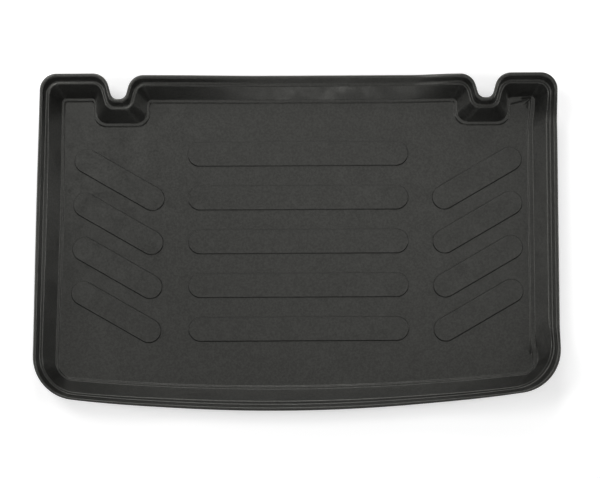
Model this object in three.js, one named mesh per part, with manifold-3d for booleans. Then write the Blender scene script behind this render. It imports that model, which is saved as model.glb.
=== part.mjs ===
// A moulded boot liner for a small hatchback: one sheet of plastic drawn into a shallow tray.
// Millimetres, +Z up. It lies on its floor, with the seats on the +Y side, where two notches in the
// edge clear the seat latches, and the tailgate on the -Y side, where the edge is bowed.
// The origin is under the middle of the liner, on the surface that it lies on.
import * as THREE from "three";
import { mergeVertices } from "three/addons/utils/BufferGeometryUtils.js";
import Module from "manifold-3d";

const { degToRad, lerp, smoothstep, clamp } = THREE.MathUtils;

// Sheet and heights
const SHEET = 2; // thickness of the sheet
const RIM_HEIGHT = 60; // top of the rim above the surface that the liner lies on

// Plan of the rim, measured from the centre line of the long bars and from the middle of the depth
const DEPTH = 636.8; // rear edge to the middle of the front edge
const REAR_LEFT = 485.2; // centre line to the left edge, at the rear
const REAR_RIGHT = 490.2; // centre line to the right edge, at the rear
const LEFT_TAPER = degToRad(1.8); // the left edge opens out towards the front
const RIGHT_TAPER = degToRad(0.45);
const FRONT_RADIUS = 3100; // bow of the front edge
const FRONT_SHIFT = -36; // middle of the bow from the centre line
const LEFT_EAR_STEP = 3.5; // the ears beside the notches stand this far behind the rear edge
const RIGHT_EAR_STEP = 1.5;
const REAR_CORNER = 32; // corner radius of the rim

// How far each wall leans in from the rim to the edge of the floor, at its ends
const LEFT_RUN = 40.2;
const RIGHT_RUN = 40.2;
const REAR_RUN = 48.8;
const FRONT_RUN = 44;
const FOOT_FRONT_RADIUS = 4600; // bow of the floor's front edge
const FOOT_REAR_CORNER = 4; // corner radius of the floor

// Radii of the two front corners at the rim, at the crest above the lower wall and at the floor.
// The lower wall is steepest in the right one.
const LEFT_FRONT_CORNER = { rim: 82, crest: 70, foot: 27 };
const RIGHT_FRONT_CORNER = { rim: 82, crest: 83, foot: 18 };

// The flexible walls lean out and sag between their ends: how far the floor's edge moves in,
// how far the rim moves in and drops, and the shares of the wall over which that builds up from
// either end, counter-clockwise from above
const LEFT_LEAN = { footIn: 3, rimIn: -4.3, drop: 20, ramps: [0.4, 0.6] };
const RIGHT_LEAN = { footIn: 6.5, rimIn: -2, drop: 20, ramps: [0.08, 0.15] };
const REAR_LEAN = { footIn: 1.5, rimIn: 0, drop: 24, ramps: [0.25, 0.6] };
const FRONT_LEAN = { drop: 20, ramps: [0.25, 0.25] };

// Notches for the seat latches
const NOTCH_LEFT = 338; // centre line to each notch
const NOTCH_RIGHT = 355;
const NOTCH_DEPTH = 45; // from the rear edge
const NOTCH_MOUTH = 50; // width at the rear edge, before its shoulders are rounded
const NOTCH_SLANT = degToRad(16); // how far its sides close in
const NOTCH_SHOULDER = 30; // radii of the rim round it
const NOTCH_END = 14;
const FOOT_NOTCH_MOUTH = 108; // the same notch at the edge of the floor, where its sides are square
const FOOT_NOTCH_SHOULDER = 4;
const FOOT_NOTCH_END = 24;

// Section through the wall, from the trimmed outer edge in to the floor
const LIP_WIDTH = 6; // flat top of the rim
const LIP_TURN = 5; // height of the turned-down outer edge
const LIP_RADIUS = 3;
const COLLAR_RUN = 17.5; // outer edge to the crest above the lower wall
const COLLAR_DROP = 12.5; // rim down to the crest
const GROOVE_RUN = 5; // the stiffening groove behind the crest
const GROOVE_DEPTH = 3;
const BEND_RADIUS = 2; // bends of the sheet
const LEDGE_WIDTH = 4.5; // narrow ledge round the floor
const LEDGE_RISE = 3;
const RIGHT_LEDGE_MORE = 3; // the ledge is wider by this along the right side
const EAR_LEDGE_MORE = 7; // and in the right ear by this beside the notch
const EAR_LEDGE_TILT = 3; // its corner there lies this far behind the notch's
const STEP_RUN = 2; // slope from the ledge down to the floor
const SECTION_RUN = 46; // whole width of the section

// Raised bars on the floor
const BAR_WIDTH = 47;
const BAR_RISE = 3;
const BAR_FLANK = 1.2; // width of a bar's sloping side
const BAR_FLANK_SHEET = 1.4; // the sheet is drawn thinner there
const LONG_BAR_LENGTH = 424;
const LONG_BAR_COUNT = 5;
const LONG_BAR_PITCH = 84.2;
const LONG_BAR_MIDDLE = 3.2; // middle bar, behind the middle of the depth
const SLANT_BAR_LENGTH = 192;
const SLANT_BAR_COUNT = 4;
const SLANT_BAR_PITCH = 84.7;
const SLANT_BAR_ANGLE = degToRad(30);
const SLANT_BAR_MIDDLE = -7; // middle of each slanted row, from the middle long bar
const LEFT_BAR_MARGIN = 105; // edge of the floor to the middle of a slanted bar
const RIGHT_BAR_MARGIN = 101;

// Facets
const CORNER_STEPS = 7;
const NOTCH_STEPS = 5;
const SIDE_STEPS = 9;
const FRONT_STEPS = 16;
const BEND_STEPS = 2;
const HIDDEN_BEND_STEPS = 1; // on the lower face
const BAR_END_STEPS = 8;

const COLOUR = new THREE.Color(0.04, 0.04, 0.038);

const point = (x, y) => new THREE.Vector2(x, y);

// The centre of a circle of the given radius that touches the lines a-b and b-c, with its two ends.
function bend(a, b, c, radius) {
  const back = a.clone().sub(b).normalize();
  const on = c.clone().sub(b).normalize();
  const half = Math.acos(clamp(back.dot(on), -1, 1)) / 2;
  const reach = radius / Math.tan(half);
  const inward = back.clone().add(on).normalize();
  return {
    centre: b.clone().addScaledVector(inward, radius / Math.sin(half)),
    start: b.clone().addScaledVector(back, reach),
    end: b.clone().addScaledVector(on, reach),
  };
}

// Points of the shorter arc from start to end round centre, both ends included.
function arcPoints(centre, start, end, steps) {
  const from = start.clone().sub(centre);
  const turn = Math.atan2(from.cross(end.clone().sub(centre)), from.dot(end.clone().sub(centre)));
  return Array.from({ length: steps + 1 }, (_, i) =>
    start.clone().rotateAround(centre, (turn * i) / steps),
  );
}

// 0 at both ends of a wall and 1 in its middle.
const leanShape = (share, [first, last]) => smoothstep(share, 0, first) * smoothstep(1 - share, 0, last);

// A straight stretch of the plan without its two ends, displaced inwards where the wall leans.
// Each point carries the drop of the rim there.
function leaningSide(from, to, steps, lean, t) {
  const along = to.clone().sub(from).normalize();
  const inward = point(-along.y, along.x);
  return Array.from({ length: steps - 1 }, (_, i) => {
    const share = (i + 1) / steps;
    const shape = leanShape(share, lean.ramps);
    const place = from.clone().lerp(to, share);
    place.addScaledVector(inward, shape * lerp(lean.rimIn, lean.footIn, t));
    place.drop = shape * lean.drop;
    return place;
  });
}

// The corner between a straight side and the bowed front edge: the centre of a circle that touches
// the line through origin along direction and, from inside, the circle of the front edge.
function frontCorner(origin, direction, inward, front, radius) {
  const start = origin.clone().addScaledVector(inward, radius);
  const offset = start.clone().sub(front.centre);
  const ahead = offset.dot(direction);
  const reach = front.radius - radius;
  const travel = -ahead + Math.sqrt(ahead * ahead - offset.lengthSq() + reach * reach);
  const centre = start.addScaledVector(direction, travel);
  const out = centre.clone().sub(front.centre).normalize();
  return {
    centre,
    onSide: centre.clone().addScaledVector(inward, -radius),
    onFront: front.centre.clone().addScaledVector(out, front.radius),
  };
}

// The left edge and the right edge at a share t of the way in from the rim to the edge of the floor,
// each with the x at any y, the direction towards the front and the direction into the liner.
function sideEdges(t) {
  const make = (sign, rear, run, taper) => ({
    xAt: (y) => sign * (rear + (DEPTH / 2 - y) * Math.tan(taper) - (t * run) / Math.cos(taper)),
    down: point(sign * Math.sin(taper), -Math.cos(taper)),
    inward: point(-sign * Math.cos(taper), -Math.sin(taper)),
  });
  return {
    left: make(-1, REAR_LEFT, LEFT_RUN, LEFT_TAPER),
    right: make(1, REAR_RIGHT, RIGHT_RUN, RIGHT_TAPER),
  };
}

// The four corners of the notch at x, from right to left, at a share t of the way in. The edge that
// meets its right shoulder is at rightY, leans as given, and the edge at its left shoulder is at leftY.
function notchCorners(x, rightY, leftY, rearY, t, before) {
  const bottomY = rearY - NOTCH_DEPTH;
  const mouth = lerp(NOTCH_MOUTH, FOOT_NOTCH_MOUTH, t) / 2;
  const slant = lerp(NOTCH_SLANT, 0, smoothstep(t, COLLAR_RUN / SECTION_RUN, 1));
  const end = mouth - NOTCH_DEPTH * Math.tan(slant);
  const shoulder = { radius: lerp(NOTCH_SHOULDER, FOOT_NOTCH_SHOULDER, t), steps: NOTCH_STEPS };
  const bottom = { radius: lerp(NOTCH_END, FOOT_NOTCH_END, t), steps: NOTCH_STEPS };
  return [
    { ...shoulder, at: point(x + mouth, rightY), before },
    { ...bottom, at: point(x + end, bottomY) },
    { ...bottom, at: point(x - end, bottomY) },
    { ...shoulder, at: point(x - mouth, leftY) },
  ];
}

// The radius of a front corner at a share t of the way in.
function frontRound({ rim, crest, foot }, t) {
  const atCrest = COLLAR_RUN / SECTION_RUN;
  return t < atCrest ? lerp(rim, crest, t / atCrest) : lerp(crest, foot, (t - atCrest) / (1 - atCrest));
}

// How much of a wider ledge is reached at a share t of the way in: 0 up to the ledge, 1 past it.
function widening(t) {
  const middle = SECTION_RUN - STEP_RUN - LEDGE_WIDTH / 2;
  return smoothstep(t * SECTION_RUN, middle - LEDGE_WIDTH / 6, middle + LEDGE_WIDTH / 6);
}

// The plan at a share t of the way in from the rim, 0, to the edge of the floor, 1, as a loop of
// points, counter-clockwise from above. Every plan has the same number of points in the same order.
function planAt(t) {
  const rearY = DEPTH / 2 - t * REAR_RUN;
  const leftEarY = rearY + LEFT_EAR_STEP;
  const rightEarY = rearY + RIGHT_EAR_STEP;
  const { left, right } = sideEdges(t);
  const rearLeft = point(left.xAt(leftEarY), leftEarY);
  const more = widening(t);
  const tilt = smoothstep(t, COLLAR_RUN / SECTION_RUN, 1) * EAR_LEDGE_TILT;
  const rearRight = point(right.xAt(rightEarY) - more * RIGHT_LEDGE_MORE, rightEarY + tilt);

  const frontRadius = lerp(FRONT_RADIUS, FOOT_FRONT_RADIUS, t);
  const frontY = -DEPTH / 2 + t * FRONT_RUN;
  const front = { centre: point(FRONT_SHIFT, frontY + frontRadius), radius: frontRadius };
  const leftRound = frontRound(LEFT_FRONT_CORNER, t);
  const rightRound = frontRound(RIGHT_FRONT_CORNER, t);
  const frontLeft = frontCorner(rearLeft, left.down, left.inward, front, leftRound);
  const frontRight = frontCorner(rearRight, right.down, right.inward, front, rightRound);

  const bowed = arcPoints(front.centre, frontLeft.onFront, frontRight.onFront, FRONT_STEPS);
  bowed.forEach((place, i) => {
    place.drop = leanShape(i / FRONT_STEPS, FRONT_LEAN.ramps) * FRONT_LEAN.drop;
  });
  const plan = [
    ...arcPoints(frontLeft.centre, frontLeft.onSide, frontLeft.onFront, CORNER_STEPS),
    ...bowed.slice(1, -1),
    ...arcPoints(frontRight.centre, frontRight.onFront, frontRight.onSide, CORNER_STEPS),
  ];

  const rearCorner = { radius: lerp(REAR_CORNER, FOOT_REAR_CORNER, t), steps: CORNER_STEPS };
  const corners = [
    { at: frontRight.onSide },
    { ...rearCorner, at: rearRight, before: RIGHT_LEAN },
    ...notchCorners(NOTCH_RIGHT, rightEarY - more * EAR_LEDGE_MORE, rearY, rearY, t),
    ...notchCorners(-NOTCH_LEFT, rearY, leftEarY, rearY, t, REAR_LEAN),
    { ...rearCorner, at: rearLeft },
    { at: frontLeft.onSide },
  ];
  for (let i = 1; i < corners.length - 1; i++) {
    const { at, radius, steps, before } = corners[i];
    const round = bend(corners[i - 1].at, at, corners[i + 1].at, radius);
    if (before) plan.push(...leaningSide(plan.at(-1), round.start, SIDE_STEPS, before, t));
    plan.push(...arcPoints(round.centre, round.start, round.end, steps));
  }
  plan.push(...leaningSide(plan.at(-1), frontLeft.onSide, SIDE_STEPS, LEFT_LEAN, t));
  return plan;
}

// The upper face of the sheet from the trimmed edge in to the floor, as points (run, height).
function upperFace(bendSteps) {
  const ledge = SHEET + LEDGE_RISE;
  const stepTop = SECTION_RUN - STEP_RUN;
  const crest = RIM_HEIGHT - COLLAR_DROP;
  const corners = [
    { at: point(0, RIM_HEIGHT - LIP_TURN) },
    { at: point(0, RIM_HEIGHT), radius: LIP_RADIUS },
    { at: point(LIP_WIDTH, RIM_HEIGHT), radius: BEND_RADIUS },
    { at: point(COLLAR_RUN - GROOVE_RUN, crest - GROOVE_DEPTH), radius: BEND_RADIUS },
    { at: point(COLLAR_RUN, crest), radius: BEND_RADIUS },
    { at: point(stepTop - LEDGE_WIDTH, ledge), radius: BEND_RADIUS },
    { at: point(stepTop, ledge), radius: BEND_RADIUS / 2 },
    { at: point(SECTION_RUN, SHEET) },
  ];
  const face = [corners[0].at];
  for (let i = 1; i < corners.length - 1; i++) {
    const round = bend(corners[i - 1].at, corners[i].at, corners[i + 1].at, corners[i].radius);
    face.push(...arcPoints(round.centre, round.start, round.end, bendSteps));
  }
  face.push(corners.at(-1).at);
  return face;
}

// The lower face of the sheet: the upper face moved square to itself by the sheet's thickness.
function lowerFace(upper) {
  const normal = (a, b) => point(b.y - a.y, a.x - b.x).normalize();
  return upper.map((place, i) => {
    const before = i > 0 ? normal(upper[i - 1], place) : point(1, 0);
    const after = i < upper.length - 1 ? normal(place, upper[i + 1]) : point(0, -1);
    const mitre = before.clone().add(after).normalize();
    const length = SHEET / Math.max(mitre.dot(after), 0.5);
    return place.clone().addScaledVector(mitre, length);
  });
}

// One ring of the wall: the plan at this run, at this height less the sag of the rim there.
function ringAt({ x: run, y: height }) {
  const foot = SHEET + LEDGE_RISE;
  const share = clamp((height - foot) / (RIM_HEIGHT - foot), 0, 1);
  return planAt(run / SECTION_RUN).map((p) => new THREE.Vector3(p.x, p.y, height - share * (p.drop ?? 0)));
}

// A closed solid through rings of points that are counter-clockwise from above, the first lowest.
function loft(rings) {
  const size = rings[0].length;
  const positions = rings.flat().flatMap((p) => p.toArray());
  const index = [];
  for (let r = 0; r + 1 < rings.length; r++) {
    for (let i = 0; i < size; i++) {
      const next = (i + 1) % size;
      const a = r * size + i;
      const b = r * size + next;
      const c = a + size;
      const d = b + size;
      // Each four-sided facet is split along its shorter diagonal
      const flat = rings[r][i].distanceTo(rings[r + 1][next]) <= rings[r][next].distanceTo(rings[r + 1][i]);
      index.push(...(flat ? [a, b, d, a, d, c] : [a, b, c, b, d, c]));
    }
  }
  const cap = (ring, base, up) => {
    const flatRing = ring.map((p) => point(p.x, p.y));
    for (const [a, b, c] of THREE.ShapeUtils.triangulateShape(flatRing, [])) {
      index.push(base + a, base + (up ? b : c), base + (up ? c : b));
    }
  };
  cap(rings[0], 0, false);
  cap(rings.at(-1), (rings.length - 1) * size, true);
  const geometry = new THREE.BufferGeometry();
  geometry.setAttribute("position", new THREE.Float32BufferAttribute(positions, 3));
  geometry.setIndex(index);
  return geometry;
}

const wasm = await Module();
wasm.setup();

function toSolid(geometry) {
  const merged = mergeVertices(geometry);
  const mesh = { numProp: 3, vertProperties: merged.attributes.position.array };
  return new wasm.Manifold(new wasm.Mesh({ ...mesh, triVerts: new Uint32Array(merged.index.array) }));
}

function toGeometry(solid) {
  const mesh = solid.getMesh();
  const geometry = new THREE.BufferGeometry();
  geometry.setAttribute("position", new THREE.BufferAttribute(mesh.vertProperties, 3));
  geometry.setIndex(new THREE.BufferAttribute(mesh.triVerts, 1));
  return geometry;
}

// The drawn sheet without its bars. Its upper face, with the floor, is the last cap of the loft, and
// its lower face the first, so one run of rings goes out along the lower face and in along the upper.
function tray() {
  const lower = lowerFace(upperFace(HIDDEN_BEND_STEPS));
  const section = [...lower.reverse(), ...upperFace(BEND_STEPS)];
  return toSolid(loft(section.map(ringAt)));
}

// A bar seen from above, drawn in by inset, at one height.
function barRing(bar, inset, height) {
  const radius = BAR_WIDTH / 2 - inset;
  const reach = (bar.length - BAR_WIDTH) / 2;
  const ends = [-1, 1].flatMap((side) =>
    Array.from({ length: BAR_END_STEPS + 1 }, (_, i) => {
      const angle = Math.PI * (i / BAR_END_STEPS) + (side * Math.PI) / 2 + Math.PI;
      return point(side * reach + radius * Math.cos(angle), radius * Math.sin(angle));
    }),
  );
  return ends.map((p) => {
    p.rotateAround(point(0, 0), bar.angle).add(bar.middle);
    return new THREE.Vector3(p.x, p.y, height);
  });
}

// A bar is raised on the upper face and hollow below, as the rest of the sheet is.
function barTop(bar) {
  const rooted = SHEET / 2;
  const top = SHEET + BAR_RISE;
  return toSolid(loft([
    barRing(bar, 0, rooted),
    barRing(bar, 0, SHEET),
    barRing(bar, BAR_FLANK / 2, top - BAR_FLANK / 2),
    barRing(bar, BAR_FLANK, top),
  ]));
}

function barHollow(bar) {
  return toSolid(loft([
    barRing(bar, BAR_FLANK_SHEET, -SHEET),
    barRing(bar, BAR_FLANK_SHEET, 0),
    barRing(bar, BAR_FLANK_SHEET + BAR_FLANK, BAR_RISE),
  ]));
}

// Five long bars across the middle, and a row of slanted ones beside each side wall.
function bars() {
  const row = (count, pitch, middle, make) =>
    Array.from({ length: count }, (_, i) => make(middle + ((count - 1) / 2 - i) * pitch));
  const edges = sideEdges(1);
  const slantMiddle = LONG_BAR_MIDDLE + SLANT_BAR_MIDDLE;
  const long = (y) => ({ middle: point(0, y), length: LONG_BAR_LENGTH, angle: 0 });
  const slanted = (x, y, angle) => ({ middle: point(x, y), length: SLANT_BAR_LENGTH, angle });
  const leftSlanted = (y) =>
    slanted(edges.left.xAt(y) + LEFT_LEAN.footIn + LEFT_BAR_MARGIN, y, -SLANT_BAR_ANGLE);
  const rightSlanted = (y) =>
    slanted(edges.right.xAt(y) - RIGHT_LEAN.footIn - RIGHT_BAR_MARGIN, y, SLANT_BAR_ANGLE);
  return [
    ...row(LONG_BAR_COUNT, LONG_BAR_PITCH, LONG_BAR_MIDDLE, long),
    ...row(SLANT_BAR_COUNT, SLANT_BAR_PITCH, slantMiddle, leftSlanted),
    ...row(SLANT_BAR_COUNT, SLANT_BAR_PITCH, slantMiddle, rightSlanted),
  ];
}

function liner() {
  let solid = tray();
  for (const bar of bars()) {
    solid = solid.add(barTop(bar)).subtract(barHollow(bar));
  }
  const geometry = toGeometry(solid);
  geometry.computeBoundingBox();
  const middle = geometry.boundingBox.getCenter(new THREE.Vector3());
  geometry.translate(-middle.x, -middle.y, 0);
  geometry.computeVertexNormals();
  const plastic = new THREE.MeshStandardMaterial({ color: COLOUR, roughness: 0.6, metalness: 0 });
  const mesh = new THREE.Mesh(geometry, plastic);
  mesh.name = "boot_liner";
  return mesh;
}

const root = new THREE.Group();
root.add(liner());

export default root;
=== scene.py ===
# %% [markdown]
# # A moulded boot liner
# The real object is one sheet of dark plastic, drawn over a mould into a shallow tray for a
# hatchback's boot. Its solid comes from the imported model, and this script makes the sheet that the
# camera sees: the same plan and section with finer bends, the folds that the moulding left, and the
# grain of the plastic.

# %% The frame
import math

import bmesh
import bpy
from mathutils import Matrix, Vector


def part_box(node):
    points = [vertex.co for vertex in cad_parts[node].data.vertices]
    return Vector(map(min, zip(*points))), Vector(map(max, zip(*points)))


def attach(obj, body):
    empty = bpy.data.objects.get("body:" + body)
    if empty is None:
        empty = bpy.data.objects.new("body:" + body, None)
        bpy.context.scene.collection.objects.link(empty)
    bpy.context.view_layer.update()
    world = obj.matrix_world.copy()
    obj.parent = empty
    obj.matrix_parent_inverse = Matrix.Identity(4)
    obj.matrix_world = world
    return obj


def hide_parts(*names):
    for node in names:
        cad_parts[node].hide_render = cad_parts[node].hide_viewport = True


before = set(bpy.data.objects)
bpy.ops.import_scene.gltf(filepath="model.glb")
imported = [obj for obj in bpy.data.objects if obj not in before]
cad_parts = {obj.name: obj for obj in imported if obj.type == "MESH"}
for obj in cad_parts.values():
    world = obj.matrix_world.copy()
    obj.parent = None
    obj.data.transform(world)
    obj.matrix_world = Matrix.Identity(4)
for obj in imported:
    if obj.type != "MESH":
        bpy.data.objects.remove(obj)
print("nodes in the frame:", len(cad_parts))
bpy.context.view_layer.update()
low, high = (Vector(corner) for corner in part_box("boot_liner"))
MM = 0.001
RIM_HEIGHT = high.z - low.z
print("solid", [round(v / MM, 1) for v in high - low], "mm")

# %% [markdown]
# ## Working by hand in code
# Each step below is an operator that a person would use in edit mode. An operator acts on all that
# is selected, so these helpers clear the selection first and then pick vertices by their place.

# %% Selecting and editing
def select_only(*objects):
    """Leave just these objects selected, with the first one active."""
    if bpy.context.mode != "OBJECT":
        bpy.ops.object.mode_set(mode="OBJECT")
    bpy.ops.object.select_all(action="DESELECT")
    for obj in objects:
        obj.select_set(True)
    bpy.context.view_layer.objects.active = objects[0]


def edit(obj, kind="VERT"):
    """Open an object in edit mode and return its mesh for selecting."""
    select_only(obj)
    bpy.ops.object.mode_set(mode="EDIT")
    bpy.ops.mesh.select_mode(type=kind)
    return bmesh.from_edit_mesh(obj.data)


def pick(obj, vertex_test=None, edge_test=None, face_test=None):
    """Select the vertices, edges or faces of the edited mesh that pass one test."""
    bpy.ops.mesh.select_all(action="DESELECT")
    mesh = bmesh.from_edit_mesh(obj.data)
    for items, test in ((mesh.verts, vertex_test), (mesh.edges, edge_test), (mesh.faces, face_test)):
        if test:
            for item in items:
                item.select_set(test(item))
    bmesh.update_edit_mesh(obj.data)


def apply_modifier(obj, name, kind, **settings):
    """Add a modifier with these settings and apply it at once."""
    select_only(obj)
    modifier = obj.modifiers.new(name, kind)
    for key, value in settings.items():
        setattr(modifier, key, value)
    bpy.ops.object.modifier_apply(modifier=modifier.name)


# %% [markdown]
# ## The plan of the tray
# Seen from above, the liner is a rectangle whose sides open out to the front, with rounded corners, a
# bowed front edge and two notches at the back for the seat latches. The rim, the crest of the wall
# and the edge of the floor are three different outlines, and every ring of the sheet lies between
# two of them. So one function gives the outline at any share of the way in from the rim to the floor.
# A run is how far the floor's edge lies inside the rim. The front corners have a radius at each of
# the three outlines. The ledge is wider along the right side and in the right ear, where its back
# edge is askew.

# %% Sizes of the plan
DEPTH = 636.8 * MM
REAR_LEFT = 485.2 * MM
REAR_RIGHT = 490.2 * MM
LEFT_TAPER = math.radians(1.8)
RIGHT_TAPER = math.radians(0.45)
FRONT_RADIUS = 3100 * MM
FLOOR_FRONT_RADIUS = 4600 * MM
FRONT_SHIFT = -36 * MM
LEFT_EAR_STEP = 3.5 * MM
RIGHT_EAR_STEP = 1.5 * MM
REAR_CORNER = 32 * MM
FLOOR_REAR_CORNER = 4 * MM
LEFT_FRONT_CORNER = {"rim": 82 * MM, "crest": 70 * MM, "floor": 27 * MM}
RIGHT_FRONT_CORNER = {"rim": 82 * MM, "crest": 83 * MM, "floor": 18 * MM}
LEFT_RUN = 40.2 * MM
RIGHT_RUN = 40.2 * MM
REAR_RUN = 48.8 * MM
FRONT_RUN = 44 * MM
NOTCH_LEFT = 338 * MM
NOTCH_RIGHT = 355 * MM
NOTCH_DEPTH = 45 * MM
NOTCH_MOUTH = 50 * MM
NOTCH_SLANT = math.radians(16)
NOTCH_SHOULDER = 30 * MM
NOTCH_END = 14 * MM
FLOOR_NOTCH_MOUTH = 108 * MM
FLOOR_NOTCH_SHOULDER = 4 * MM
FLOOR_NOTCH_END = 24 * MM
RIGHT_LEDGE_MORE = 3 * MM
EAR_LEDGE_MORE = 7 * MM
EAR_LEDGE_TILT = 3 * MM
WIDENING = (0.9, 0.93)
CORNER_STEPS = 16
NOTCH_STEPS = 12
SIDE_STEPS = 26
FRONT_STEPS = 60

# %% [markdown]
# The walls of such a thin tray lean out and sag between the stiff corners. Each wall has its own
# lean: how far the floor's edge moves in, how far the rim moves in and drops, and its ramps, the
# shares of the wall over which that builds up from its two ends, counter-clockwise from above. The
# sag makes the middle of a wall flatter than its ends, and a flatter wall catches more light, so the
# ramps follow the light and dark of the real walls.

# %% How the walls lean
LEFT_LEAN = {"floor_in": 3 * MM, "rim_in": -4.3 * MM, "drop": 20 * MM, "ramps": (0.4, 0.6)}
RIGHT_LEAN = {"floor_in": 6.5 * MM, "rim_in": -2 * MM, "drop": 20 * MM, "ramps": (0.08, 0.11)}
REAR_LEAN = {"floor_in": 1.5 * MM, "rim_in": 0, "drop": 23 * MM, "ramps": (0.16, 0.4)}
FRONT_LEAN = {"drop": 20 * MM, "ramps": (0.25, 0.25)}


def mix(a, b, share):
    return a + (b - a) * share


def smooth_step(value, start, end):
    share = min(max((value - start) / (end - start), 0), 1)
    return share * share * (3 - 2 * share)


def lean_shape(share, ramps):
    """0 at both ends of a wall and 1 in its middle."""
    return smooth_step(share, 0, ramps[0]) * smooth_step(1 - share, 0, ramps[1])


# %% [markdown]
# ### Rounded corners and leaning sides
# A corner is an arc that touches the two edges that meet there, as a compass draws it.

# %% Corners and sides
def rounded(before, corner, after, radius):
    """Give the centre and both ends of the arc that rounds a corner."""
    back = (before - corner).normalized()
    on = (after - corner).normalized()
    half = back.angle(on) / 2
    reach = radius / math.tan(half)
    centre = corner + (back + on).normalized() * radius / math.sin(half)
    return centre, corner + back * reach, corner + on * reach


def arc(centre, start, end, steps):
    """Give the points of the shorter arc from start to end, both included."""
    first = start - centre
    last = end - centre
    turn = math.atan2(first.x * last.y - first.y * last.x, first.dot(last))
    return [centre + Matrix.Rotation(turn * i / steps, 2) @ first for i in range(steps + 1)]


def upright(points):
    """Give plan points whose rim doesn't drop, as (x, y, drop)."""
    return [(p.x, p.y, 0) for p in points]


def leaning_side(start, end, lean, share_in):
    """Give the points between two corners, moved in where the wall leans."""
    start = Vector(start[:2])
    along = (end - start).normalized()
    inward = Vector((-along.y, along.x))
    points = []
    for i in range(1, SIDE_STEPS):
        shape = lean_shape(i / SIDE_STEPS, lean["ramps"])
        move = shape * mix(lean["rim_in"], lean["floor_in"], share_in)
        place = start.lerp(end, i / SIDE_STEPS) + inward * move
        points.append((place.x, place.y, shape * lean["drop"]))
    return points


def front_corner(origin, direction, inward, front_centre, front_radius, radius):
    """Give the corner at the bowed front: centre, arc's end on the side, arc's end on the bow."""
    start = origin + inward * radius
    offset = start - front_centre
    ahead = offset.dot(direction)
    reach = front_radius - radius
    travel = -ahead + math.sqrt(ahead * ahead - offset.length_squared + reach * reach)
    centre = start + direction * travel
    outward = (centre - front_centre).normalized()
    return centre, centre - inward * radius, front_centre + outward * front_radius


# %% [markdown]
# ### One outline
# The outline runs counter-clockwise from the front left corner. Every outline has the same number of
# points in the same order, so that the ring of one can be moved onto the next.

# %% The outline at a share of the way in
def side_x(sign, rear, run, taper, y, share):
    return sign * (rear + (DEPTH / 2 - y) * math.tan(taper) - share * run / math.cos(taper))


def notch(x, right_y, left_y, rear_y, share, before):
    """Give a notch's four corners, from right to left: place, radius, lean of the edge before."""
    mouth = mix(NOTCH_MOUTH, FLOOR_NOTCH_MOUTH, share) / 2
    slant = mix(NOTCH_SLANT, 0, smooth_step(share, CREST_RUN / SECTION_RUN, 1))
    end = mouth - NOTCH_DEPTH * math.tan(slant)
    bottom_y = rear_y - NOTCH_DEPTH
    shoulder = mix(NOTCH_SHOULDER, FLOOR_NOTCH_SHOULDER, share)
    bottom = mix(NOTCH_END, FLOOR_NOTCH_END, share)
    return [
        (Vector((x + mouth, right_y)), shoulder, before),
        (Vector((x + end, bottom_y)), bottom, None),
        (Vector((x - end, bottom_y)), bottom, None),
        (Vector((x - mouth, left_y)), shoulder, None),
    ]


def corner_radius(sizes, share):
    """Give the radius of a front corner at a share of the way in. It changes at the crest."""
    crest = CREST_RUN / SECTION_RUN
    if share < crest:
        return mix(sizes["rim"], sizes["crest"], share / crest)
    return mix(sizes["crest"], sizes["floor"], min((share - crest) / (1 - crest), 1))


def front_outline(share, left_origin, right_origin):
    """Give the points from the front left to the front right corner, and both their far ends."""
    radius = mix(FRONT_RADIUS, FLOOR_FRONT_RADIUS, share)
    centre = Vector((FRONT_SHIFT, -DEPTH / 2 + share * FRONT_RUN + radius))
    left_down = Vector((-math.sin(LEFT_TAPER), -math.cos(LEFT_TAPER)))
    left_in = Vector((math.cos(LEFT_TAPER), -math.sin(LEFT_TAPER)))
    right_down = Vector((math.sin(RIGHT_TAPER), -math.cos(RIGHT_TAPER)))
    right_in = Vector((-math.cos(RIGHT_TAPER), -math.sin(RIGHT_TAPER)))
    left_radius = corner_radius(LEFT_FRONT_CORNER, share)
    right_radius = corner_radius(RIGHT_FRONT_CORNER, share)
    left = front_corner(left_origin, left_down, left_in, centre, radius, left_radius)
    right = front_corner(right_origin, right_down, right_in, centre, radius, right_radius)
    bow = []
    for i, p in enumerate(arc(centre, left[2], right[2], FRONT_STEPS)):
        sag = lean_shape(i / FRONT_STEPS, FRONT_LEAN["ramps"]) * FRONT_LEAN["drop"]
        bow.append((p.x, p.y, sag))
    points = upright(arc(left[0], left[1], left[2], CORNER_STEPS))
    points += bow[1:-1]
    points += upright(arc(right[0], right[2], right[1], CORNER_STEPS))
    return points, left[1], right[1]


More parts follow.
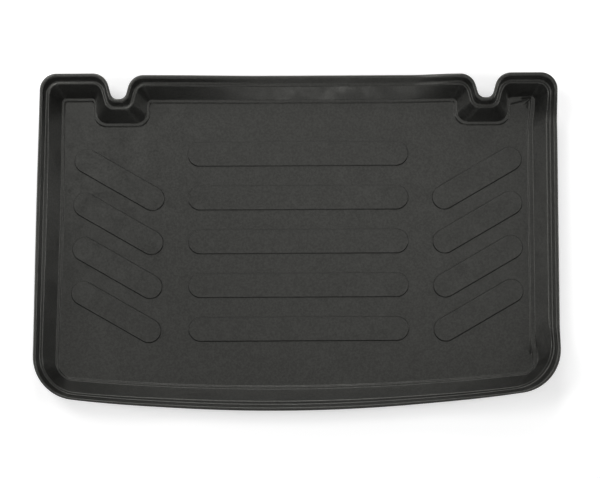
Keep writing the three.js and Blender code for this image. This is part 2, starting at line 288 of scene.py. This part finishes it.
def outline(share):
    """Give the plan as (x, y, drop of the rim) at a share of the way from the rim to the floor."""
    rear_y = DEPTH / 2 - share * REAR_RUN
    left_y = rear_y + LEFT_EAR_STEP
    right_y = rear_y + RIGHT_EAR_STEP
    widening = smooth_step(share, *WIDENING)
    rear_left = Vector((side_x(-1, REAR_LEFT, LEFT_RUN, LEFT_TAPER, left_y, share), left_y))
    rear_right = Vector((side_x(1, REAR_RIGHT, RIGHT_RUN, RIGHT_TAPER, right_y, share), right_y))
    rear_right.x -= widening * RIGHT_LEDGE_MORE
    rear_right.y += smooth_step(share, CREST_RUN / SECTION_RUN, 1) * EAR_LEDGE_TILT
    points, left_start, right_start = front_outline(share, rear_left, rear_right)
    ear_radius = mix(REAR_CORNER, FLOOR_REAR_CORNER, share)
    corners = [(right_start, 0, None)]
    corners += [(rear_right, ear_radius, RIGHT_LEAN)]
    corners += notch(NOTCH_RIGHT, right_y - widening * EAR_LEDGE_MORE, rear_y, rear_y, share, None)
    corners += notch(-NOTCH_LEFT, rear_y, left_y, rear_y, share, REAR_LEAN)
    corners += [(rear_left, ear_radius, None)]
    corners += [(left_start, 0, None)]
    for i in range(1, len(corners) - 1):
        place, radius, lean = corners[i]
        centre, start, end = rounded(corners[i - 1][0], place, corners[i + 1][0], radius)
        if lean:
            points += leaning_side(points[-1], start, lean, share)
        steps = CORNER_STEPS if i in (1, len(corners) - 2) else NOTCH_STEPS
        points += upright(arc(centre, start, end, steps))
    points += leaning_side(points[-1], left_start, LEFT_LEAN, share)
    return points


# %% [markdown]
# ## The section of the wall
# From the trimmed outer edge the sheet turns over a narrow lip, drops to a groove, rises to a small
# crest that stiffens the wall, runs down the lower wall to a ledge and steps down to the floor. The
# section is a line of corners, each with its bending radius. Short straight pieces beside each bend
# keep the bend's soft shading out of the flat stretches.

# %% Corners of the section
SHEET = 2 * MM
LIP_WIDTH = 6 * MM
LIP_TURN = 5 * MM
LIP_RADIUS = 2.6 * MM
CREST_RUN = 17.5 * MM
CREST_DROP = 12.5 * MM
GROOVE_RUN = 5 * MM
GROOVE_DEPTH = 3 * MM
BEND_RADIUS = 2.7 * MM
LEDGE_BEND_RADIUS = 1.5 * MM
LEDGE_WIDTH = 4.5 * MM
LEDGE_RISE = 3 * MM
STEP_RUN = 2 * MM
SECTION_RUN = 46 * MM
BEND_STEPS = 5
HOLD = 0.7 * MM

LEDGE_HEIGHT = SHEET + LEDGE_RISE
CREST_HEIGHT = RIM_HEIGHT - CREST_DROP
SECTION = [
    ((0, RIM_HEIGHT - LIP_TURN), 0),
    ((0, RIM_HEIGHT), LIP_RADIUS),
    ((LIP_WIDTH, RIM_HEIGHT), BEND_RADIUS),
    ((CREST_RUN - GROOVE_RUN, CREST_HEIGHT - GROOVE_DEPTH), BEND_RADIUS),
    ((CREST_RUN, CREST_HEIGHT), BEND_RADIUS),
    ((SECTION_RUN - STEP_RUN - LEDGE_WIDTH, LEDGE_HEIGHT), LEDGE_BEND_RADIUS),
    ((SECTION_RUN - STEP_RUN, LEDGE_HEIGHT), LEDGE_BEND_RADIUS),
    ((SECTION_RUN, SHEET), LEDGE_BEND_RADIUS),
    ((SECTION_RUN + 3 * STEP_RUN, SHEET), 0),
]


def section_line():
    """Give the section as (run, height) from the trimmed edge to the flat of the floor."""
    places = [Vector(place) for place, radius in SECTION]
    line = [places[0]]
    for i in range(1, len(places) - 1):
        centre, start, end = rounded(places[i - 1], places[i], places[i + 1], SECTION[i][1])
        bend = arc(centre, start, end, BEND_STEPS)
        into = bend[0] - line[-1]
        if into.length > 3 * HOLD:
            line.append(line[-1] + into.normalized() * HOLD if i > 1 else line[-1] + into / 2)
            line.append(bend[0] - into.normalized() * HOLD)
        line += bend
    line.append(line[-1] + Vector((HOLD, 0)))
    return line


section = section_line()
print("the section has", len(section), "points, and the outline", len(outline(0)))

# %% [markdown]
# ## Drawing the sheet
# A ring of edges lies on the trimmed edge. It is extruded once for each point of the section, and
# each new ring is moved onto its own outline. A number kept on every vertex, its station round the
# tray, is copied by the extrusion and says where the vertex goes.

# %% Rings of the sheet
rim_points = outline(0)
CENTRE = Vector((
    (min(p[0] for p in rim_points) + max(p[0] for p in rim_points)) / 2,
    (min(p[1] for p in rim_points) + max(p[1] for p in rim_points)) / 2,
))


def place_ring(obj, run, height):
    """Move the selected ring onto the outline at this run of the section."""
    points = outline(run / SECTION_RUN)
    mesh = bmesh.from_edit_mesh(obj.data)
    station = mesh.verts.layers.int["station"]
    rise = min(max((height - LEDGE_HEIGHT) / (RIM_HEIGHT - LEDGE_HEIGHT), 0), 1)
    for vertex in mesh.verts:
        if vertex.select:
            x, y, drop = points[vertex[station]]
            vertex.co = (x - CENTRE.x, y - CENTRE.y, low.z + height - rise * drop)
    bmesh.update_edit_mesh(obj.data)


bpy.ops.object.select_all(action="DESELECT")
bpy.ops.mesh.primitive_circle_add(vertices=len(rim_points), radius=DEPTH / 2)
tray = bpy.context.object
tray.name = "moulded_tray"
stations = tray.data.attributes.new("station", "INT", "POINT")
for i, item in enumerate(stations.data):
    item.value = i
edit(tray, "EDGE")
bpy.ops.mesh.select_all(action="SELECT")
place_ring(tray, *section[0])
for run, height in section[1:]:
    bpy.ops.mesh.extrude_edges_move()
    place_ring(tray, run, height)
select_only(tray)
print("wall:", len(tray.data.polygons), "faces")

# %% [markdown]
# ## The raised bars
# Five long bars and two rows of slanted ones stiffen the floor and keep the load from sliding. Each
# is a racetrack with round ends. One bar of each length is modelled as a ring of edges, which is
# pulled apart to that length and then extruded up over the flank. Its copies are turned and moved
# to their places. The flank meets the floor in a sharp corner, which the eye sees as a thin dark
# line. It is steeper on the rear side than on the front side, where the line is wider. FLANK gives it
# as rings, each with its distance inside the bar's outline and its height, in millimetres.

# %% Sizes of the bars
BAR_WIDTH = 47 * MM
BAR_RISE = 3 * MM
BAR_END_POINTS = 26
LONG_BAR_LENGTH = 424 * MM
LONG_BAR_COUNT = 5
LONG_BAR_PITCH = 84.2 * MM
LONG_BAR_MIDDLE = 3.2 * MM
SLANT_BAR_LENGTH = 192 * MM
SLANT_BAR_COUNT = 4
SLANT_BAR_PITCH = 84.7 * MM
SLANT_BAR_ANGLE = math.radians(30)
SLANT_BAR_MIDDLE = -7 * MM
LEFT_BAR_MARGIN = 105 * MM
RIGHT_BAR_MARGIN = 101 * MM
BAR_LEAN = 0.25
FLANK = [
    (-1.5, 0),
    (-0.25, 0),
    (0.95, 2.8),
    (1.12, 3.0),
    (1.8, 3.0),
    (3.0, 3.0),
]


def make_bar(length):
    """Model a bar at the origin, along X, as an open shell with its flat top."""
    reach = (length - BAR_WIDTH) / 2
    bpy.ops.object.select_all(action="DESELECT")
    start_radius = BAR_WIDTH / 2 - FLANK[0][0] * MM
    bpy.ops.mesh.primitive_circle_add(vertices=2 * BAR_END_POINTS, radius=start_radius)
    bar = bpy.context.object
    edit(bar)
    half_step = math.pi / (2 * BAR_END_POINTS)
    bpy.ops.mesh.select_all(action="SELECT")
    bpy.ops.transform.rotate(value=half_step, orient_axis="Z", center_override=(0, 0, 0))
    for side in (-1, 1):
        pick(bar, vertex_test=lambda v: v.co.x * side > 0)
        bpy.ops.transform.translate(value=(side * reach, 0, 0))
    bpy.ops.mesh.select_mode(type="EDGE")
    bpy.ops.mesh.select_all(action="SELECT")
    radius = start_radius
    for inset, height in FLANK[1:]:
        bpy.ops.mesh.extrude_edges_move()
        mesh = bmesh.from_edit_mesh(bar.data)
        factor = (BAR_WIDTH / 2 - inset * MM) / radius
        for vertex in mesh.verts:
            if vertex.select:
                centre = math.copysign(reach, vertex.co.x)
                vertex.co.x = centre + (vertex.co.x - centre) * factor
                vertex.co.y *= factor
                vertex.co.z = height * MM
        bmesh.update_edit_mesh(bar.data)
        radius *= factor
    bpy.ops.mesh.fill(use_beauty=True)
    select_only(bar)
    return bar


def copy_bar(source, x, y, angle):
    """Make another bar with its own mesh, turned, leaned to the rear and moved into the tray."""
    copy = source.copy()
    copy.data = source.data.copy()
    bpy.context.collection.objects.link(copy)
    turn = Matrix.Rotation(angle, 4, "Z")
    lean = Matrix.Shear("XY", 4, (0, BAR_LEAN))
    foot_y = y - CENTRE.y - BAR_LEAN * BAR_RISE / 2
    move = Matrix.Translation((x - CENTRE.x, foot_y, low.z + SHEET))
    copy.data.transform(move @ lean @ turn)
    return copy


# %% Bars in their rows
def row(count, pitch, middle):
    """Give the places of a row about its middle, from the rear."""
    return [middle + ((count - 1) / 2 - i) * pitch for i in range(count)]


long_bar = make_bar(LONG_BAR_LENGTH)
slant_bar = make_bar(SLANT_BAR_LENGTH)
bars = []
for y in row(LONG_BAR_COUNT, LONG_BAR_PITCH, LONG_BAR_MIDDLE):
    bars.append(copy_bar(long_bar, 0, y, 0))
for y in row(SLANT_BAR_COUNT, SLANT_BAR_PITCH, LONG_BAR_MIDDLE + SLANT_BAR_MIDDLE):
    left_edge = side_x(-1, REAR_LEFT, LEFT_RUN, LEFT_TAPER, y, 1) + LEFT_LEAN["floor_in"]
    right_edge = side_x(1, REAR_RIGHT, RIGHT_RUN, RIGHT_TAPER, y, 1) - RIGHT_LEAN["floor_in"]
    bars.append(copy_bar(slant_bar, left_edge + LEFT_BAR_MARGIN, y, -SLANT_BAR_ANGLE))
    bars.append(copy_bar(slant_bar, right_edge - RIGHT_BAR_MARGIN, y, SLANT_BAR_ANGLE))
select_only(long_bar, slant_bar)
bpy.ops.object.delete()
select_only(tray, *bars)
bpy.ops.object.join()
print("bars:", len(bars))

# %% [markdown]
# ## The floor
# The floor fills what is left between the ring at the wall's foot and the foot of every bar. It is
# then cut along straight lines, about a finger's width apart, so that it has enough points to take
# the slight waviness of a thin moulded sheet.

# %% Filling and cutting the floor
FLOOR_CELL = 14 * MM
LEVEL = 0.01 * MM


def on_floor_edge(edge):
    return edge.is_boundary and all(abs(v.co.z - low.z - SHEET) < LEVEL for v in edge.verts)


edit(tray, "EDGE")
pick(tray, edge_test=on_floor_edge)
bpy.ops.mesh.fill(use_beauty=True)


def level_face(face):
    heights = [v.co.z - low.z for v in face.verts]
    top = SHEET + BAR_RISE
    flat = max(heights) - min(heights) < LEVEL
    return flat and (abs(heights[0] - SHEET) < LEVEL or abs(heights[0] - top) < LEVEL)


def cut_floor(axis, start, end):
    count = int((end - start) / FLOOR_CELL)
    for i in range(1, count):
        place = [0, 0, 0]
        normal = [0, 0, 0]
        place[axis] = start + i * (end - start) / count
        normal[axis] = 1
        pick(tray, face_test=level_face)
        bpy.ops.mesh.bisect(plane_co=place, plane_no=normal)


bpy.ops.mesh.select_mode(type="FACE")
cut_floor(0, low.x, high.x)
cut_floor(1, low.y, high.y)
bpy.ops.mesh.select_all(action="SELECT")
bpy.ops.mesh.remove_doubles(threshold=LEVEL)
bpy.ops.mesh.normals_make_consistent(inside=False)
select_only(tray)
floor_up = sum(p.normal.z * p.area for p in tray.data.polygons)
if floor_up < 0:
    tray.data.flip_normals()
print("top face:", len(tray.data.polygons), "faces")

# %% [markdown]
# ## Folds that the mould left
# In the right ear the corner of the ledge is puckered: a ridge runs from the corner over the ledge
# and out onto the floor, between two short valleys. A crease runs along the ledge where the right
# wall meets the front corner, and a small dent lies beside it. Each fold follows a short line in the
# plan, given in millimetres. The faces near the line are cut finer, and then their vertices are lifted
# or pressed down, steeply on one side of the line and gently on the other.

# %% A fold along a line
FOLD_CELL = 1.2 * MM
FOLD_CUTS = 6
FOLD_ENDS = (0.3, 0.3)


def beside_line(place, line):
    """Tell how far along a line a place is, from 0 to 1, and how far to its left."""
    lengths = [(b - a).length for a, b in zip(line, line[1:])]
    nearest = None
    passed = 0
    for a, b, length in zip(line, line[1:], lengths):
        along = (b - a) / length
        travel = min(max((place - a).dot(along), 0), length)
        gap = place - a - along * travel
        if nearest is None or gap.length < abs(nearest[1]):
            left = along.x * gap.y - along.y * gap.x
            nearest = ((passed + travel) / sum(lengths), math.copysign(gap.length, left))
        passed += length
    return nearest


def fold(obj, line, rise, left_width, right_width):
    """Raise the sheet along a line by rise, which fades over these widths on its two sides."""
    line = [Vector(place) * MM for place in line]
    reach = max(left_width, right_width)
    ceiling = low.z + LEDGE_HEIGHT + LEVEL

    def near(place):
        return place.z < ceiling and abs(beside_line(place.xy, line)[1]) < reach

    edit(obj, "FACE")
    pick(obj, face_test=lambda face: near(face.calc_center_median()))
    bpy.ops.mesh.quads_convert_to_tris()
    bpy.ops.mesh.select_mode(type="EDGE")
    for _ in range(FOLD_CUTS):
        pick(obj, edge_test=lambda edge: edge.calc_length() > FOLD_CELL
             and near((edge.verts[0].co + edge.verts[1].co) / 2))
        bpy.ops.mesh.subdivide(number_cuts=1)
    mesh = bmesh.from_edit_mesh(obj.data)
    for vertex in mesh.verts:
        if near(vertex.co):
            share, left = beside_line(vertex.co.xy, line)
            across = abs(left) / (left_width if left > 0 else right_width)
            vertex.co.z += rise * lean_shape(share, FOLD_ENDS) * (1 - smooth_step(across, 0, 1))
    bmesh.update_edit_mesh(obj.data)
    select_only(obj)


# %% The folds of the right side
EAR_VALLEY = [(431.2, 274.1), (442.2, 275.6), (454.2, 277.6)]
EAR_RIDGE = [(435.2, 260.6), (442.2, 266.1), (449, 272.5), (452.7, 277.1)]
EAR_HOLLOW = [(448.2, 270.6), (447.2, 252.6)]
LEDGE_CREASE = [(456.7, -173.4), (458.1, -190.7), (459.7, -215.4)]
CORNER_DENT = [(447.5, -217.5), (455.5, -214)]
fold(tray, EAR_VALLEY, -1.6 * MM, 1.5 * MM, 3 * MM)
fold(tray, EAR_RIDGE, 1.3 * MM, 4 * MM, 1.5 * MM)
fold(tray, EAR_HOLLOW, -0.8 * MM, 1.2 * MM, 5 * MM)
fold(tray, LEDGE_CREASE, 1.4 * MM, 1.2 * MM, 4 * MM)
fold(tray, CORNER_DENT, -1.3 * MM, 3.5 * MM, 2.5 * MM)
print("with the folds:", len(tray.data.polygons), "faces")

# %% [markdown]
# ## Thickness and waviness
# A clouds texture lifts the sheet by a fraction of a millimetre. Solidify then gives the sheet its
# thickness on the lower side, so the bars are hollow below as they are on the real liner. Shading is
# smooth over the bends, which take several small turns, and sharp where two faces meet at more than
# SHARP_ANGLE, as at the foot of a bar and at the trimmed edge.

# %% Waves and thickness
WAVE_LENGTH = 110 * MM
WAVE_HEIGHT = 0.5 * MM
SHARP_ANGLE = math.radians(35)
waves = bpy.data.textures.new("sheet_waves", type="CLOUDS")
waves.noise_scale = WAVE_LENGTH
waves.noise_depth = 1
lift = {"texture": waves, "direction": "Z", "mid_level": 0, "strength": WAVE_HEIGHT}
apply_modifier(tray, "Waves", "DISPLACE", **lift)
apply_modifier(tray, "Thickness", "SOLIDIFY", thickness=SHEET, offset=-1)
select_only(tray)
bpy.ops.object.shade_smooth_by_angle(angle=SHARP_ANGLE)
print("tray:", len(tray.data.polygons), "faces")

# %% [markdown]
# ## The plastic
# The liner is matt dark plastic with a fine leather-like grain. Its own colour is nearly black, and
# most of what the eye sees is the soft, faintly warm sheen of the grain, so roughness and bump do
# more than colour here. Fine noise speckles the colour, coarser noise makes the sheen mottled, and
# rounded cells give the bump of the grain.

# %% The plastic's sizes and finish
SHEEN = 0.7
SHEEN_TINT = (1, 1, 0.94, 1)
DARK_SPECK = (0.001, 0.001, 0.0009, 1)
LIGHT_SPECK = (0.017, 0.017, 0.016, 1)
SPECK_LIMITS = (0.35, 0.65)
MOTTLE_LIMITS = (0.3, 0.7)
ROUGHNESS_LIMITS = (0.29, 0.47)
GRAIN_STRENGTH = 0.25
GRAIN_HEIGHT = 0.1 * MM


# %% Helpers for the plastic
def add_texture(tree, kind, **inputs):
    """Add a texture that reads Object coordinates, with these inputs."""
    node = tree.nodes.new(kind)
    for name, value in inputs.items():
        node.inputs[name].default_value = value
    tree.links.new(tree.nodes["Texture Coordinate"].outputs["Object"], node.inputs["Vector"])
    return node


def add_specks(tree, shader):
    """Speckle the colour with fine noise."""
    noise = add_texture(tree, "ShaderNodeTexNoise", Scale=280, Detail=2, Roughness=0.6)
    ramp = tree.nodes.new("ShaderNodeValToRGB")
    dark, light = ramp.color_ramp.elements
    dark.position, light.position = SPECK_LIMITS
    dark.color = DARK_SPECK
    light.color = LIGHT_SPECK
    tree.links.new(noise.outputs["Fac"], ramp.inputs["Fac"])
    tree.links.new(ramp.outputs["Color"], shader.inputs["Base Color"])


def add_mottle(tree, shader):
    """Vary the roughness with coarser noise."""
    noise = add_texture(tree, "ShaderNodeTexNoise", Scale=28, Detail=5, Roughness=0.75)
    rough = tree.nodes.new("ShaderNodeMapRange")
    rough.inputs["From Min"].default_value, rough.inputs["From Max"].default_value = MOTTLE_LIMITS
    rough.inputs["To Min"].default_value, rough.inputs["To Max"].default_value = ROUGHNESS_LIMITS
    tree.links.new(noise.outputs["Fac"], rough.inputs["Value"])
    tree.links.new(rough.outputs["Result"], shader.inputs["Roughness"])


def add_grain(tree, shader):
    """Raise rounded cells a tenth of a millimetre."""
    cells = add_texture(tree, "ShaderNodeTexVoronoi", Scale=900)
    cells.feature = "SMOOTH_F1"
    bump = tree.nodes.new("ShaderNodeBump")
    bump.inputs["Strength"].default_value = GRAIN_STRENGTH
    bump.inputs["Distance"].default_value = GRAIN_HEIGHT
    tree.links.new(cells.outputs["Distance"], bump.inputs["Height"])
    tree.links.new(bump.outputs["Normal"], shader.inputs["Normal"])


# %% The plastic on the tray
def grained_plastic():
    """Make the matt dark plastic."""
    material = bpy.data.materials.new("grained_plastic")
    material.use_nodes = True
    tree = material.node_tree
    shader = tree.nodes["Principled BSDF"]
    shader.inputs["Specular IOR Level"].default_value = SHEEN
    shader.inputs["Specular Tint"].default_value = SHEEN_TINT
    tree.nodes.new("ShaderNodeTexCoord")
    add_specks(tree, shader)
    add_mottle(tree, shader)
    add_grain(tree, shader)
    print(material.name, "has", len(tree.nodes), "nodes")
    return material


tray.data.materials.clear()
tray.data.materials.append(grained_plastic())
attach(tray, "root")
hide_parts("boot_liner")

# %% [markdown]
# ## Floor, light and camera
# The liner lies on a pale floor, which glows a little to the camera and in reflections, so that it
# shows white and still keeps the liner's shadow.

# %% The floor of the studio
FLOOR_SIZE = 12
FLOOR_GLOW = 0.4
FLOOR_COLOUR = (0.8, 0.8, 0.8, 1)
FLOOR_GAP = 0.3 * MM
bpy.ops.object.select_all(action="DESELECT")
bpy.ops.mesh.primitive_plane_add(size=FLOOR_SIZE, location=(0, 0, low.z - FLOOR_GAP))
studio_floor = bpy.context.object
studio_floor.name = "studio_floor"


def pale_floor():
    """Make the floor's white, whose glow only the camera, glossy and clear surfaces see."""
    material = bpy.data.materials.new("pale_floor")
    material.use_nodes = True
    tree = material.node_tree
    shader = tree.nodes["Principled BSDF"]
    shader.inputs["Base Color"].default_value = FLOOR_COLOUR
    shader.inputs["Roughness"].default_value = 0.9
    rays = tree.nodes.new("ShaderNodeLightPath")
    seen = rays.outputs["Is Camera Ray"]
    for ray in ("Is Glossy Ray", "Is Transmission Ray"):
        either = tree.nodes.new("ShaderNodeMath")
        either.operation = "MAXIMUM"
        tree.links.new(seen, either.inputs[0])
        tree.links.new(rays.outputs[ray], either.inputs[1])
        seen = either.outputs["Value"]
    glow = tree.nodes.new("ShaderNodeMath")
    glow.operation = "MULTIPLY"
    glow.inputs[1].default_value = FLOOR_GLOW
    tree.links.new(seen, glow.inputs[0])
    shader.inputs["Emission Color"].default_value = (1, 1, 1, 1)
    tree.links.new(glow.outputs["Value"], shader.inputs["Emission Strength"])
    return material


studio_floor.data.materials.append(pale_floor())

# %% [markdown]
# ## Lights
# The walls tell where the light comes from. Those that face the front and the side walls' steep ends
# are dark, and the flatter middles are light. So soft lamps stand low round the tray, the strongest
# behind it and to its left, a weak one in front lifts the wall that faces it, and a large one overhead
# gives the floor its even sheen. With the pale world they add up to a plain level.

# %% The lamps and the world
LAMP_DISTANCE = 3
LAMP_SIZE = 0.9
OVERHEAD_SIZE = 1.6
WORLD_STRENGTH = 0.22
LAMPS = {
    "rear": (0, 30, 33, LAMP_SIZE),
    "rear_left": (315, 50, 23, LAMP_SIZE),
    "left": (270, 30, 26, LAMP_SIZE),
    "right": (90, 30, 24, LAMP_SIZE),
    "front": (180, 10, 7, LAMP_SIZE),
    "overhead": (75, 82, 6.8, OVERHEAD_SIZE),
    "front_left": (235, 62, 2.8, LAMP_SIZE),
}


def soft_lamp(name, turn, rise, watts, size):
    """Aim a square lamp at the tray, turned clockwise from the rear and raised by these degrees."""
    data = bpy.data.lights.new(name, "AREA")
    data.size = size
    data.energy = watts
    lamp = bpy.data.objects.new(name, data)
    bpy.context.collection.objects.link(lamp)
    turn = math.radians(turn)
    rise = math.radians(rise)
    aim = Vector((math.sin(turn) * math.cos(rise), math.cos(turn) * math.cos(rise), math.sin(rise)))
    lamp.location = LAMP_DISTANCE * aim
    lamp.rotation_euler = aim.to_track_quat("Z", "Y").to_euler()


for name, settings in LAMPS.items():
    soft_lamp(name, *settings)
world = bpy.data.worlds.new("studio")
bpy.context.scene.world = world
world.use_nodes = True
background = world.node_tree.nodes["Background"]
background.inputs["Color"].default_value = (1, 1, 1, 1)
background.inputs["Strength"].default_value = WORLD_STRENGTH
print("lamps:", len(LAMPS))

# %% [markdown]
# ## The camera
# The camera looks straight down from well above, a few millimetres off the middle and turned by a
# fraction of a degree. Its lens follows from how wide a strip of the floor the picture takes in.

# %% Camera and picture
CAMERA_HEIGHT = 2.75
CAMERA_PLACE = (6.2 * MM, 5.9 * MM)
CAMERA_TURN = math.radians(-0.3)
FLOOR_VIEW_WIDTH = 1.1556
SENSOR = 36
camera_data = bpy.data.cameras.new("camera")
camera_data.sensor_fit = "HORIZONTAL"
camera_data.sensor_width = SENSOR
camera_data.lens = SENSOR * CAMERA_HEIGHT / FLOOR_VIEW_WIDTH
camera = bpy.data.objects.new("camera", camera_data)
bpy.context.collection.objects.link(camera)
camera.location = (*CAMERA_PLACE, low.z + CAMERA_HEIGHT)
camera.rotation_euler = (0, 0, CAMERA_TURN)
bpy.context.scene.camera = camera
bpy.context.scene.view_settings.view_transform = "Standard"
print("lens:", round(camera_data.lens, 1), "mm")
